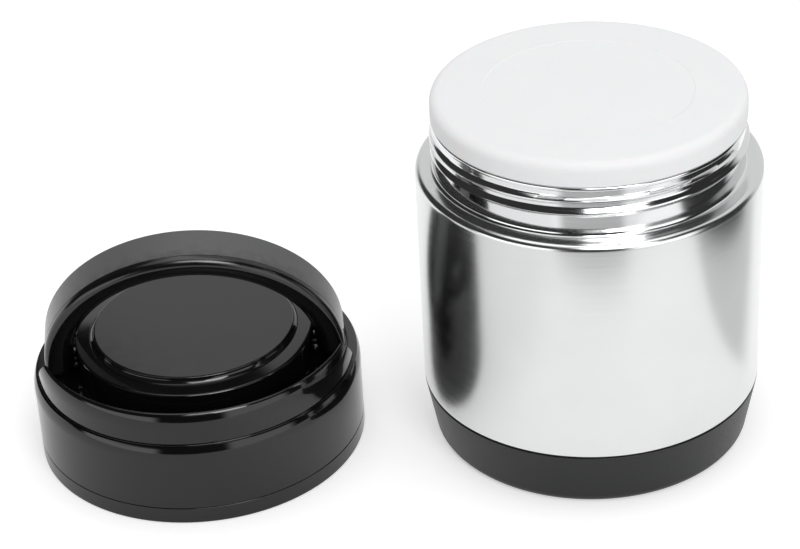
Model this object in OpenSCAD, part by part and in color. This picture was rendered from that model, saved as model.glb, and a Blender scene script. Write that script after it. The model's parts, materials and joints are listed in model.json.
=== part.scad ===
// Insulated food jar with its insulated inner lid in the mouth and its screw
// lid standing beside it. The screw lid carries a half-ring handle that swings
// on two pins and folds into a ring channel round the lid's boss.
// Millimetres, +Z up, origin at the middle of the jar's foot.

/* [Jar body] */
// Outside diameter of the steel body
body_d = 100; // [92:1:116]
// Height of the steel shoulder above the table
shoulder_h = 88; // [75:1:130]
// Width of the flat shoulder between body and neck
shoulder_w = 5.5; // [5.4:0.1:7]
// Rounding between the body and the shoulder
shoulder_round = 1.6; // [1:0.1:2.2]
// Thickness of the outer steel wall
shell_wall = 1; // [0.8:0.1:1.2]

/* [Neck and thread] */
// Height of the neck above the shoulder
neck_h = 15.4; // [14:0.2:20]
// Fillet at the foot of the neck
neck_fillet = 1.2; // [0.6:0.1:1.8]
// Height of the rolled lip at the mouth
lip_h = 1.4; // [1:0.1:2]
// How far the rolled lip stands out from the neck
lip_over = 0.4; // [0.2:0.1:0.5]
// Rise of the thread in one turn
thread_pitch = 4; // [3.6:0.1:4.4]
// Number of turns of thread on the neck
thread_turns = 1.5; // [1.25:0.25:1.75]
// How far the thread stands out from the neck
thread_depth = 1.1; // [0.8:0.1:1.2]
// Width of the thread where it meets the wall
thread_w = 2.2; // [1.8:0.1:2.4]
// Width of the thread at its crest
thread_crest = 0.8; // [0.6:0.1:1]
// Height of the thread's start above the shoulder
thread_low = 6.4; // [5:0.1:7]

/* [Inner vessel] */
// Thickness of the inner steel wall
liner_wall = 0.8; // [0.6:0.1:1]
// Space between the two walls inside the neck
neck_gap = 0.4; // [0.3:0.1:1]
// Rounding round the floor of the inner vessel
liner_round = 12; // [6:1:20]
// Vacuum space under the inner vessel
floor_gap = 6; // [4:0.5:10]
// Thickness of the radiation foil
foil_t = 0.4; // [0.3:0.1:0.6]
// Clearance of the foil from the inner vessel
foil_gap = 0.1; // [0.1:0.1:0.4]

/* [Foot cup] */
// Height of the plastic foot cup
base_h = 17.9; // [12:0.1:25]
// Thickness of the foot cup's wall
base_wall = 2.2; // [1.6:0.1:3]
// Thickness of the foot cup's floor
base_floor = 2; // [1.5:0.1:3]
// How far the foot is narrower than the body, at each side
foot_inset = 3.3; // [1:0.1:5]
// Rounding of the foot's edge
foot_round = 2.5; // [1:0.1:4]
// Clearance between the steel and the foot cup
base_fit = 0.2; // [0.1:0.05:0.3]
// Height of the black ring between steel and foot cup
gasket_h = 0.5; // [0.4:0.1:1]
// How far that ring stands back from the surface
gasket_inset = 0.5; // [0.3:0.1:1]
// Thickness of the steel bottom plate
plate_t = 1.2; // [0.8:0.1:2]
// Space between the foot cup's floor and the bottom plate
plate_gap = 2.2; // [1.4:0.1:4]
// Diameter of the pump-out hole in the bottom plate
pump_d = 4; // [3:0.5:6]
// Diameter of the seal that closes the pump-out hole
pump_seal_d = 10; // [8:0.5:14]
// Thickness of that seal under the plate
pump_seal_t = 0.8; // [0.5:0.1:1.2]
// Diameter of the getter cup
getter_d = 12; // [8:1:16]
// Height of the getter cup
getter_h = 1.8; // [1:0.1:2.5]
// Distance of the getter cup from the axis
getter_x = 22; // [15:1:30]

/* [Inner lid] */
// Height of the white cover above the mouth
cover_h = 7.2; // [6:0.1:9]
// Rounding of the cover's top edge
cover_round = 2.6; // [1:0.1:3.5]
// Thickness of the cover and the plug
cover_wall = 1.8; // [1.4:0.1:2]
// How far the cover stands out past the lip
cover_over = 0.1; // [0:0.1:0.4]
// Depth of the plug in the mouth
plug_depth = 12; // [9:0.5:18]
// Clearance of the plug from the inner vessel
plug_gap = 1.2; // [0.8:0.1:1.6]
// Clearance between two lids or seats that rest on each other
seat_gap = 0.1; // [0.05:0.05:0.3]
// Height of the silicone ring round the plug
seal_h = 2.4; // [1.6:0.1:3.5]
// Depth of the ring's groove in the plug
seal_groove = 0.7; // [0.4:0.1:0.9]
// Clearance of the ring from the inner vessel
seal_gap = 0.15; // [0.1:0.05:0.3]

/* [Screw lid] */
// Distance from the jar's axis to the lid's axis, along X
lid_x = -118.4; // [-180:0.1:-118]
// Distance from the jar's axis to the lid's axis, along Y
lid_y = 3.6; // [-30:0.1:30]
// How far the lid's skirt stands back from the body
lid_inset = 0.7; // [0:0.1:0.9]
// Turn of the lid about its own axis, anticlockwise from above
lid_turn = 2; // [-30:0.5:30]
// Thickness of the skirt
lid_wall = 1.8; // [1.4:0.1:1.9]
// How far the upper tier stands back from the skirt
lid_step = 1.7; // [1:0.1:2.5]
// Height of the rounding at the top of the skirt
lid_step_h = 3.7; // [2:0.1:4.5]
// Width of the flat ledge between that rounding and the upper tier
lid_ledge = 0.8; // [0.4:0.1:0.9]
// Width of the rim round the handle's channel
rim_w = 1.8; // [1.5:0.1:2.4]
// Height of the rounding on the rim's outside
rim_round_h = 5; // [2:0.1:6]
// Height of the low rear part of the rim above the channel's floor
rear_rim_h = 1.4; // [0.8:0.1:2]
// Distance of the full-height rim in front of the handle's pins
rim_start = 16; // [12:1:24]
// Distance in front of the pins where the rim's slope ends
rim_slope_end = 8; // [5:0.5:10]
// Thickness of the channel's floor
channel_t = 1.4; // [1.2:0.1:2]
// Thickness of the boss's top and wall
boss_wall = 1.8; // [1.4:0.1:2.2]
// How far the boss's ledge lies below the rim
ledge_drop = 1.1; // [0.5:0.1:2]
// Width of the ledge round the raised disc
ledge_w = 4.7; // [3:0.1:6.5]
// Angle at which the ledge rises towards the disc
ledge_slope = 6.75; // [0:0.25:12]
// How far the disc stands above the ledge's outer edge
disc_proud = 2.4; // [1.4:0.1:3]
// Depth of the disc's seat below the ledge
disc_seat = 1.2; // [0.6:0.1:1.4]
// Rounding of the disc's upper edge
disc_round = 0.3; // [0.1:0.1:0.6]
// How far the disc's hollow side flares out towards its foot
disc_flare = 1; // [0.4:0.1:1.5]
// Width of the oval that the flare follows
flare_w = 3.4; // [2.5:0.1:5]
// Height of the oval that the flare follows
flare_h = 2.3; // [1.5:0.1:2.6]
// Clearance of the disc in its seat
disc_gap = 0.15; // [0.1:0.05:0.3]
// Height of the bottom band
band_h = 5.2; // [4:0.1:7]
// Height of the parting line above the band
part_gap = 0.2; // [0.1:0.1:0.4]
// Clearance between the lid's shell and its threaded liner
liner_fit = 0.15; // [0.1:0.05:0.2]
// Running clearance of the thread's crests from the other wall
thread_gap = 0.6; // [0.5:0.05:0.7]
// Thickness of the liner's ceiling
ceiling_t = 1.2; // [1:0.1:1.6]
// Room above the inner lid when the screw lid is closed
ceiling_gap = 0.3; // [0.2:0.1:0.8]
// Width of the seal ring under the ceiling
lid_gasket_w = 4; // [2:0.5:6]
// Height of the seal ring, half of it sunk in the ceiling
lid_gasket_h = 1; // [0.8:0.1:1.2]
// Distance of the seal ring's outer edge from the thread wall
lid_gasket_inset = 5; // [4:0.5:8]

/* [Handle] */
// Width of the raised handle in front of its pins
handle_front = 8; // [5.5:0.1:9]
// Width of the raised handle behind its pins
handle_back = 5; // [4:0.1:6]
// Radial thickness of the handle
handle_t = 8.6; // [7.5:0.1:10]
// How far the folded handle stands above the rim
handle_proud = 2.5; // [0.5:0.1:3]
// Thickness of the matte grip on the outside of the handle
grip_t = 1.4; // [1:0.1:2]
// Width of the glossy edge in front of the grip
grip_inset = 3; // [1.5:0.1:3.5]
// Height of the grip's pointed ends
grip_point = 5; // [2:0.5:8]
// Height of their points above the pins
grip_low = 1; // [0.5:0.5:4]
// Clearance between the grip and the frame
grip_fit = 0.04; // [0.03:0.01:0.08]
// Rounding of the handle's front inner edge
inner_round = 5.2; // [1:0.1:6]
// Rounding of the handle's front outer edge
outer_round = 2; // [1:0.1:3]
// Rounding of the handle's rear edges
rear_round = 0.8; // [0.4:0.1:2]
// Clearance of the handle inside the rim
handle_gap = 1; // [0.6:0.1:1.5]
// Clearance of the handle round the boss
boss_gap = 0.5; // [0.4:0.1:1]
// Clearance of the handle above the channel's floor
foot_gap = 0.4; // [0.3:0.1:1]
// Angle that the handle leans forward from upright
lean = 18; // [-30:0.5:25]
// Angle at which the flats on its feet stop the handle
stop_lean = 20; // [18:1:30]
// Diameter of the pivot pins
pin_d = 3.6; // [3:0.1:4.5]
// Depth of each pin in the boss
pin_hold = 6; // [4:0.5:8]
// Depth of each pin in the handle
pin_reach = 5.4; // [4:0.1:6]
// Running clearance of the handle on the pins
pin_run = 0.06; // [0.03:0.01:0.1]
// Clearance of the pins in the boss
pin_press = 0.02; // [0.01:0.01:0.03]
// Wall round each pin inside the boss
pin_boss_wall = 2; // [1.5:0.1:2.2]
// Diameter of the friction washers
washer_d = 7.2; // [6:0.1:8]
// Thickness of the friction washers
washer_t = 1.4; // [1:0.1:1.8]
// Clearance of the washers from the boss
washer_gap = 0.1; // [0.05:0.05:0.2]

/* [Hidden] */
$fn = 96;
ARC = 6; // steps in a rounded edge
eps = 0.01;

// jar
body_r = body_d / 2;
neck_r = body_r - shoulder_w;
neck_top = shoulder_h + neck_h;
liner_r = neck_r - shell_wall - neck_gap - liner_wall;
foot_r = body_r - foot_inset;
step_z = base_h + gasket_h;
plate_z = base_floor + plate_gap;
liner_floor = plate_z + plate_t + floor_gap + liner_wall;
liner_top = neck_top - lip_h;
function base_r(z) = foot_r + foot_inset * (z - foot_round) / (base_h - foot_round);
function steel_foot_r(z) = base_r(z) - base_wall - base_fit;

// inner lid
cover_r = neck_r + lip_over + cover_over;
cover_z = neck_top + seat_gap;
cover_top = cover_z + cover_h;
plug_r = liner_r - plug_gap;
plug_z = cover_z - plug_depth;
flange_r = cover_r - cover_wall - seat_gap;
seal_z = plug_z + plug_depth / 2 - seal_h / 2;

// screw lid, in its own coordinates with z = 0 on the table
lid_r = body_r - lid_inset;
tier_r = lid_r - lid_step;
rim_in = tier_r - rim_w;
handle_out = rim_in - handle_gap;
handle_in = handle_out - handle_t;
boss_r = handle_in - boss_gap;
thread_wall_r = neck_r + thread_depth + thread_gap;
liner_out = lid_r - lid_wall - liner_fit;
ceiling_z = cover_top - shoulder_h + ceiling_gap;
channel_under = ceiling_z + ceiling_t;
channel_z = channel_under + channel_t;
pivot_z = channel_z + foot_gap + handle_back;
rim_top = pivot_z + handle_front - handle_proud;
ledge_z = rim_top - ledge_drop;
disc_r = boss_r - ledge_w;
seat_z = ledge_z - disc_seat;
boss_under = seat_z - boss_wall;
rear_z = channel_z + rear_rim_h;
gasket_out = thread_wall_r - lid_gasket_inset;

// handle
frame_out = handle_out - grip_t;
grip_front = handle_front - grip_inset;
pin_r = pin_d / 2;
washer_in = boss_r + washer_gap;
washer_seat = washer_in + washer_t - handle_in + washer_gap;

// Points of an arc about [x, y], from angle a to angle b.
function arc(x, y, r, a, b) = [for (i = [0 : ARC])
    let (t = a + (b - a) * i / ARC) [x + r * cos(t), y + r * sin(t)]];

// The same for an oval arc with different radii across and up.
function oval(x, y, rx, ry, a, b) = [for (p = arc(0, 0, 1, a, b)) [x + rx * p[0], y + ry * p[1]]];

// A ring with a rectangular section.
module ring(r_in, r_out, h) {
    difference() {
        cylinder(h = h, r = r_out);
        translate([0, 0, -1]) cylinder(h = h + 2, r = r_in);
    }
}

// A helical ridge on a wall of radius r. It stands out by thread_depth, to the
// inside where side is -1, runs out at both ends and is rooted in the wall.
module thread_ridge(r, side, z, turns, root) {
    steps = ceil(turns * 40);
    run_out = 5;
    function grow(i) = min(1, i / run_out, (steps - i) / run_out);
    points = [for (i = [0 : steps])
        let (t = 360 * turns * i / steps, lift = z + thread_pitch * turns * i / steps,
             out = r + side * max(thread_depth * grow(i), 0.1), in = r - side * root)
        for (p = [[in, -thread_w / 2], [out, -thread_crest / 2],
                  [out, thread_crest / 2], [in, thread_w / 2]])
            [p[0] * cos(t), p[0] * sin(t), lift + p[1]]];
    sides = [for (i = [0 : steps - 1], k = [0 : 3])
        let (a = 4 * i + k, b = 4 * i + (k + 1) % 4)
        side > 0 ? [a, b, b + 4, a + 4] : [a + 4, b + 4, b, a]];
    ends = side > 0 ? [[3, 2, 1, 0], [for (k = [0 : 3]) 4 * steps + k]]
                    : [[0, 1, 2, 3], [for (k = [3 : -1 : 0]) 4 * steps + k]];
    polyhedron(points, concat(sides, ends));
}

module outer_shell() {
    body_in = body_r - shell_wall;
    neck_in = neck_r - shell_wall;
    lip_r = neck_r + lip_over;
    color("#c9cbcc") union() {
        rotate_extrude() polygon(concat(
            [[steel_foot_r(plate_z), plate_z], [steel_foot_r(base_h), base_h],
             [steel_foot_r(base_h), step_z], [body_r, step_z]],
            arc(body_r - shoulder_round, shoulder_h - shoulder_round, shoulder_round, 0, 90),
            arc(neck_r + neck_fillet, shoulder_h + neck_fillet, neck_fillet, 270, 180),
            [[neck_r, neck_top - lip_h]],
            arc(lip_r - lip_h / 2, neck_top - lip_h / 2, lip_h / 2, -90, 90),
            [[liner_r, neck_top], [liner_r, liner_top], [neck_in, liner_top],
             [neck_in, shoulder_h - shell_wall],
             [body_in - shoulder_round, shoulder_h - shell_wall],
             [body_in, shoulder_h - shell_wall - shoulder_round],
             [body_in, step_z + shell_wall],
             [steel_foot_r(base_h) - shell_wall, step_z + shell_wall],
             [steel_foot_r(base_h) - shell_wall, base_h],
             [steel_foot_r(plate_z) - shell_wall, plate_z]]));
        rotate([0, 0, 150])
            thread_ridge(neck_r, 1, shoulder_h + thread_low, thread_turns, shell_wall / 2);
    }
}

module inner_liner() {
    corner_r = liner_r - liner_round;
    corner_z = liner_floor + liner_round;
    color("#d4d5d6") rotate_extrude() polygon(concat(
        [[0, liner_floor - liner_wall]],
        arc(corner_r, corner_z, liner_round + liner_wall, -90, 0),
        [[liner_r + liner_wall, liner_top], [liner_r, liner_top]],
        arc(corner_r, corner_z, liner_round, 0, -90),
        [[0, liner_floor]]));
}

module bottom_plate() {
    color("#b9bbbc") translate([0, 0, plate_z])
        ring(pump_d / 2, steel_foot_r(plate_z) - shell_wall, plate_t);
}

module vacuum_seal() {
    color("#8d8f90") translate([0, 0, plate_z]) union() {
        cylinder(h = plate_t, r = pump_d / 2);
        translate([0, 0, -pump_seal_t]) cylinder(h = pump_seal_t, r = pump_seal_d / 2);
    }
}

module getter() {
    color("#77797a") translate([getter_x, 0, plate_z + plate_t])
        cylinder(h = getter_h, r = getter_d / 2);
}

module radiation_foil() {
    foil_in = liner_r + liner_wall + foil_gap;
    foil_z = liner_floor + liner_round;
    color("#c8794b") translate([0, 0, foil_z])
        ring(foil_in, foil_in + foil_t, shoulder_h - shell_wall - 2 * shoulder_round - foil_z);
}

module base_cup() {
    color("#2f3030") rotate_extrude() polygon(concat(
        [[0, 0]],
        arc(foot_r - foot_round, foot_round, foot_round, -90, 0),
        [[body_r, base_h], [body_r - base_wall, base_h],
         [base_r(base_floor) - base_wall, base_floor], [0, base_floor]]));
}

module base_gasket() {
    gasket_in = steel_foot_r(base_h) + base_fit / 2;
    color("#111111") translate([0, 0, base_h])
        ring(gasket_in, body_r - gasket_inset, gasket_h);
}

module inner_lid_cover() {
    inside_r = cover_r - cover_wall;
    color("#f1f1f2") rotate_extrude() polygon(concat(
        [[cover_r, cover_z]],
        arc(cover_r - cover_round, cover_top - cover_round, cover_round, 0, 90),
        [[0, cover_top], [0, cover_top - cover_wall],
         [cover_r - cover_round, cover_top - cover_wall],
         [inside_r, cover_top - cover_round], [inside_r, cover_z]]));
}

module inner_lid_plug() {
    inside_r = plug_r - cover_wall;
    groove_r = plug_r - seal_groove;
    color("#e9e9ea") rotate_extrude() polygon([
        [0, plug_z], [plug_r - cover_wall, plug_z], [plug_r, plug_z + cover_wall],
        [plug_r, seal_z], [groove_r, seal_z], [groove_r, seal_z + seal_h],
        [plug_r, seal_z + seal_h], [plug_r, cover_z], [flange_r, cover_z],
        [flange_r, cover_z + cover_wall], [inside_r, cover_z + cover_wall],
        [inside_r, plug_z + cover_wall], [0, plug_z + cover_wall]]);
}

module inner_lid_foam() {
    foam_z = plug_z + cover_wall;
    color("#e8dfc8") translate([0, 0, foam_z])
        cylinder(h = cover_top - cover_wall - foam_z, r = plug_r - cover_wall - seat_gap);
}

module inner_lid_seal() {
    color("#dfe3e4") translate([0, 0, seal_z])
        ring(plug_r - seal_groove, liner_r - seal_gap, seal_h);
}

// Moves a piece of the screw lid to where the lid stands.
module at_lid() {
    translate([lid_x, lid_y, 0]) rotate([0, 0, lid_turn]) children();
}

// A round bar along X, from the distance a to the distance b from the lid's axis.
module side_bar(r, a, b) {
    translate([a, 0, pivot_z]) rotate([0, 90, 0]) cylinder(h = b - a, r = r);
}

// What the rim loses at the back and down its two slopes.
module rim_cut() {
    above = rim_top + 1;
    behind = lid_r + 1;
    intersection() {
        translate([0, 0, rear_z - 1]) ring(rim_in - eps, lid_r + 1, above - rear_z + 2);
        translate([-behind, 0, 0]) rotate([90, 0, 90]) linear_extrude(2 * behind)
            polygon([[-rim_start, rim_top], [-rim_slope_end, rear_z], [behind, rear_z],
                     [behind, above], [-rim_start, above]]);
    }
}

module lid_shell() {
    skirt_in = lid_r - lid_wall;
    inside_r = boss_r - boss_wall;
    seat_r = disc_r + disc_gap;
    edge = ledge_drop / 2;
    inner_edge = rim_w / 6;
    step_top = channel_z + rear_rim_h / 2;
    step_in = lid_step - lid_ledge;
    step_round = (step_in * step_in + lid_step_h * lid_step_h) / (2 * step_in);
    ledge_in_z = ledge_z + (boss_r - edge - seat_r) * tan(ledge_slope);
    at_lid() color("#1b1b1c") difference() {
        union() {
            difference() {
                rotate_extrude() polygon(concat(
                    [[skirt_in, band_h + part_gap], [lid_r, band_h + part_gap]],
                    arc(lid_r - step_round, step_top - lid_step_h, step_round, 0,
                        asin(lid_step_h / step_round)),
                    [[tier_r, step_top]],
                    oval(rim_in + inner_edge, rim_top - rim_round_h, rim_w - inner_edge,
                         rim_round_h, 0, 90),
                    arc(rim_in + inner_edge, rim_top - inner_edge, inner_edge, 90, 180),
                    [[rim_in, channel_z], [boss_r, channel_z]],
                    arc(boss_r - edge, ledge_z - edge, edge, 0, 90),
                    [[seat_r, ledge_in_z], [seat_r, seat_z], [0, seat_z], [0, boss_under],
                     [inside_r, boss_under], [inside_r, channel_under],
                     [skirt_in, channel_under]]));
                rim_cut();
            }
            for (side = [0, 180]) rotate([0, 0, side])
                intersection() {
                    side_bar(pin_r + pin_boss_wall, boss_r - pin_hold, boss_r - boss_wall / 2);
                    cylinder(h = boss_under + boss_wall / 2, r = boss_r);
                }
        }
        for (side = [0, 180]) rotate([0, 0, side])
            side_bar(pin_r + pin_press, boss_r - pin_hold - 1, boss_r + 1);
    }
}

module lid_disc() {
    top = ledge_z + disc_proud;
    upper_r = disc_r - disc_flare;
    flare_end = acos(1 - disc_flare / flare_w);
    at_lid() color("#2b2b2c") rotate_extrude() polygon(concat(
        [[0, seat_z], [disc_r, seat_z]],
        oval(upper_r + flare_w, top - disc_round, flare_w, flare_h, 180 + flare_end, 180),
        arc(upper_r - disc_round, top - disc_round, disc_round, 0, 90),
        [[0, top]]));
}

module lid_liner() {
    groove = lid_gasket_h / 2;
    edge = part_gap * 2;
    at_lid() color("#242425") union() {
        rotate_extrude() polygon([
            [thread_wall_r, 0], [lid_r - edge, 0], [lid_r, edge], [lid_r, band_h],
            [liner_out, band_h], [liner_out, channel_under], [0, channel_under],
            [0, ceiling_z], [gasket_out - lid_gasket_w, ceiling_z],
            [gasket_out - lid_gasket_w, ceiling_z + groove],
            [gasket_out, ceiling_z + groove], [gasket_out, ceiling_z],
            [thread_wall_r, ceiling_z]]);
        thread_ridge(thread_wall_r, -1, thread_low, thread_turns, liner_out / 2 - thread_wall_r / 2);
    }
}

module lid_foam() {
    foam_r = boss_r - boss_wall - liner_fit;
    boss_bar_r = pin_r + pin_boss_wall + liner_fit;
    at_lid() color("#e8dfc8") difference() {
        translate([0, 0, channel_under]) cylinder(h = boss_under - channel_under, r = foam_r);
        for (side = [0, 180]) rotate([0, 0, side])
            side_bar(boss_bar_r, boss_r - pin_hold - liner_fit, boss_r);
    }
}

module lid_gasket() {
    at_lid() color("#e6e6e6") translate([0, 0, ceiling_z - lid_gasket_h / 2])
        ring(gasket_out - lid_gasket_w, gasket_out, lid_gasket_h);
}

module pivot_pin() {
    color("#a7a9aa") side_bar(pin_r, boss_r - pin_hold, handle_in + pin_reach);
}

module pivot_pin_left() {
    at_lid() mirror([1, 0, 0]) pivot_pin();
}

module pivot_pin_right() {
    at_lid() pivot_pin();
}

// Moves a piece of the handle from its own axes, hoop standing up in the XZ
// plane about the origin, to the lid's pivot axis at the angle it leans.
module at_pivot() {
    at_lid() translate([0, 0, pivot_z]) rotate([lean, 0, 0]) children();
}

// The handle's whole body, on its own axes: a half hoop and its two feet. Its
// section is given as [radius, distance in front of the pins].
module handle_body() {
    front_edge = concat(
        arc(handle_in + inner_round, handle_front - inner_round, inner_round, 180, 90),
        arc(handle_out - outer_round, handle_front - outer_round, outer_round, 90, 0));
    rear_edge = concat(
        arc(handle_out - rear_round, rear_round - handle_back, rear_round, 0, -90),
        arc(handle_in + rear_round, rear_round - handle_back, rear_round, 270, 180));
    rotate([90, 0, 0]) rotate_extrude(angle = 180) polygon(concat(front_edge, rear_edge));
    foot(front_edge, rear_edge);
    mirror([1, 0, 0]) foot(front_edge, rear_edge);
}

// A foot is round about its pin behind. In front it has a flat, which lies on the
// channel's floor when the handle leans forward by stop_lean.
module foot(front_edge, rear_edge) {
    drop = handle_back + foot_gap - seat_gap;
    far = 2 * handle_front;
    rotate([0, 90, 0]) rotate_extrude(angle = 90) polygon(concat(
        [[0, handle_out]], [for (p = rear_edge) [-p[1], p[0]]], [[0, handle_in]]));
    intersection() {
        rotate([0, 90, 0]) rotate([0, 0, -90]) rotate_extrude(angle = 90) polygon(concat(
            [[0, handle_in]], [for (p = front_edge) [p[1], p[0]]], [[0, handle_out]]));
        rotate([90, 0, 90]) linear_extrude(2 * handle_out) polygon([
            [-far, far], [-far, (far * sin(stop_lean) - drop) / cos(stop_lean)],
            [-drop * sin(stop_lean), -drop * cos(stop_lean)], [0, -handle_back],
            [far, -handle_back], [far, far]]);
    }
}

// The part of space that the grip fills, grown by gap into the frame. Its ends
// come to a point beside the pins.
module grip_space(gap) {
    far = 2 * handle_out;
    edge_z = grip_low + grip_point - 2 * gap;
    intersection() {
        rotate([90, 0, 0]) rotate_extrude(angle = 180)
            polygon([[frame_out - gap, -far], [far, -far], [far, grip_front + gap],
                     [frame_out - gap, grip_front + gap]]);
        translate([-far, 0, 0]) rotate([90, 0, 90]) linear_extrude(2 * far) polygon([
            [handle_back / 2 - grip_front / 2, grip_low - 2 * gap], [handle_back, edge_z],
            [far, edge_z], [far, far], [-far, far], [-far, edge_z], [-grip_front, edge_z]]);
    }
}

module handle_frame() {
    at_pivot() color("#161617") difference() {
        handle_body();
        grip_space(grip_fit);
        for (side = [0, 180]) rotate([0, 0, side]) rotate([0, 90, 0]) {
            cylinder(h = handle_in + pin_reach + seat_gap, r = pin_r + pin_run);
            cylinder(h = handle_in + washer_seat, r = washer_d / 2 + seat_gap);
        }
    }
}

module handle_grip() {
    at_pivot() color("#4b4b4c") intersection() {
        handle_body();
        grip_space(0);
    }
}

module friction_washers() {
    at_pivot() color("#1f1f20")
        for (side = [0, 180]) rotate([0, 0, side])
            translate([washer_in, 0, 0]) rotate([0, 90, 0])
                ring(pin_r + pin_run, washer_d / 2, washer_t);
}

outer_shell();
inner_liner();
bottom_plate();
vacuum_seal();
getter();
radiation_foil();
base_cup();
base_gasket();
inner_lid_cover();
inner_lid_plug();
inner_lid_foam();
inner_lid_seal();
lid_shell();
lid_disc();
lid_liner();
lid_foam();
lid_gasket();
pivot_pin_left();
pivot_pin_right();
handle_frame();
handle_grip();
friction_washers();
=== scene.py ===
"""Insulated food jar with its inner lid in the mouth and its screw lid beside it."""

import json
import math

import bmesh
import bpy
from mathutils import Matrix, Vector


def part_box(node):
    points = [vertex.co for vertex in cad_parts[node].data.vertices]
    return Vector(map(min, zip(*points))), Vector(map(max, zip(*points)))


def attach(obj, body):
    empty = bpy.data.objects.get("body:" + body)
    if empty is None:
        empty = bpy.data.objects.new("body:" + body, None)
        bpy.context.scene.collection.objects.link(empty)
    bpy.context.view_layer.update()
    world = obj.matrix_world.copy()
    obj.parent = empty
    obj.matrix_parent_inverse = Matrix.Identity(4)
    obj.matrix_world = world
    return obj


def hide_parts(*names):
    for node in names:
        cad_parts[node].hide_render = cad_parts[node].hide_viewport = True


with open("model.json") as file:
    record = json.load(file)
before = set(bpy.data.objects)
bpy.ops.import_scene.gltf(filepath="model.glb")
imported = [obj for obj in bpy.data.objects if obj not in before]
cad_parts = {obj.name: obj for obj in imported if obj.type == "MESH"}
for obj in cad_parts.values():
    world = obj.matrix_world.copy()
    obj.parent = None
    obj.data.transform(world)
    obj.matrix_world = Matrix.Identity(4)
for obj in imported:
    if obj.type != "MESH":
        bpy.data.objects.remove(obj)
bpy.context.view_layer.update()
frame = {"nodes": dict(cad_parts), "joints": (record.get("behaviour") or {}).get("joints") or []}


# ---- Camera ----------------------------------------------------------------
# A long lens looks down on the pair from the front, turned a little about its
# own axis. The picture it frames is 800 units wide and 549 high.

MM = 0.001
PICTURE_WIDTH = 800
FOCAL_LENGTH = 2400  # in the same units as the picture's width
look_down = math.radians(31.44)
camera_roll = math.radians(-3.23)
aim = Vector((-55.88, 85.84, 0)) * MM
aim_distance = 807.6 * MM

forward = Vector((0, math.cos(look_down), -math.sin(look_down)))
level_right = Vector((1, 0, 0))
level_up = level_right.cross(forward)
camera_right = level_right * math.cos(camera_roll) + level_up * math.sin(camera_roll)
camera_up = level_up * math.cos(camera_roll) - level_right * math.sin(camera_roll)
camera_data = bpy.data.cameras.new("camera")
camera_data.sensor_width = 36
camera_data.lens = FOCAL_LENGTH * camera_data.sensor_width / PICTURE_WIDTH
camera = bpy.data.objects.new("camera", camera_data)
camera.matrix_world = (
    Matrix.Translation(aim - forward * aim_distance)
    @ Matrix((camera_right, camera_up, -forward)).transposed().to_4x4()
)
bpy.context.collection.objects.link(camera)
bpy.context.scene.camera = camera
bpy.context.scene.view_settings.view_transform = "Standard"


# ---- Table and light -------------------------------------------------------
# A white table that runs back out of sight, under two soft boxes. Bright panels
# stand left and right of a dark camera, and a white wall stands at the back.
# The steel and the gloss black mirror these, and the table where it is clear.

def add(tree, kind, inputs={}, **settings):
    """Adds one shader node, sets it, and fills or links its sockets."""
    made = tree.nodes.new("ShaderNode" + kind)
    for name, value in settings.items():
        setattr(made, name, value)
    for socket, value in inputs.items():
        if isinstance(value, bpy.types.Node):
            value = value.outputs[0]
        if isinstance(value, bpy.types.NodeSocket):
            tree.links.new(value, made.inputs[socket])
        else:
            made.inputs[socket].default_value = value
    return made


def linear(colour):
    """An sRGB hex colour as linear RGBA."""
    parts = [int(colour[i:i + 2], 16) / 255 for i in (1, 3, 5)]
    return [p / 12.92 if p <= 0.04045 else ((p + 0.055) / 1.055) ** 2.4 for p in parts] + [1]


def soft_patch(tree, ranges):
    """1 where every value lies between its low and high, 0 outside, with soft edges."""
    inside = 1.0
    for value, low, high, soft in ranges:
        for start, end in ((low - soft, low + soft), (high + soft, high - soft)):
            edge = add(tree, "MapRange", {"Value": value, "From Min": start, "From Max": end},
                       interpolation_type="SMOOTHSTEP")
            inside = add(tree, "Math", {0: inside, 1: edge}, operation="MULTIPLY")
    return inside


FAR = 10
table_front = -0.178
table_right = 0.168
table_far = 3.0
bm = bmesh.new()
bmesh.ops.create_grid(bm, x_segments=1, y_segments=1, size=0.5)
for vert in bm.verts:
    vert.co.x = table_right if vert.co.x > 0 else -table_far
    vert.co.y = table_far if vert.co.y > 0 else table_front
floor_mesh = bpy.data.meshes.new("floor")
bm.to_mesh(floor_mesh)
bm.free()
floor = bpy.data.objects.new("floor", floor_mesh)
bpy.context.collection.objects.link(floor)

# White paper. It is its own white to the camera and in the metal, but less where
# the jar or the lid shades it. Each shade has a depth and is a corner between two
# lines, and a line is its normal, its distance from the origin and its softness.
paper = bpy.data.materials.new("white_paper")
paper.use_nodes = True
tree = paper.node_tree
tree.nodes.clear()
place = add(tree, "TexCoord").outputs["Object"]
jar_shade = [((0.775, 0.631, 0), 0.0642, 0.006), ((0.707, -0.707, 0), 0.060, 0.015)]
lid_shade = [((-1, 0, 0), 0.08, 0.03), ((0, -1, 0), -0.01, 0.04)]
clear = 1.0
for depth, lines in ((-1.0, jar_shade), (-0.4, lid_shade)):
    ranges = []
    for across, distance, soft in lines:
        along = add(tree, "VectorMath", {0: place, 1: across}, operation="DOT_PRODUCT")
        ranges.append((along.outputs["Value"], distance, FAR, soft))
    clear = add(tree, "Math", {0: soft_patch(tree, ranges), 1: depth, 2: clear},
                operation="MULTIPLY_ADD", use_clamp=True)
rays = add(tree, "LightPath")
mirrored = add(tree, "Math", {0: clear, 1: rays.outputs["Is Glossy Ray"]}, operation="MULTIPLY")
seen = add(tree, "Math", {0: mirrored, 1: rays.outputs["Is Camera Ray"]}, operation="MAXIMUM")
level = add(tree, "Math", {0: seen, 1: 0.42}, operation="MULTIPLY")
sheet = add(tree, "BsdfDiffuse", {"Color": linear("#e6e6e6")})
glow = add(tree, "Emission", {"Color": linear("#ffffff"), "Strength": level})
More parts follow.
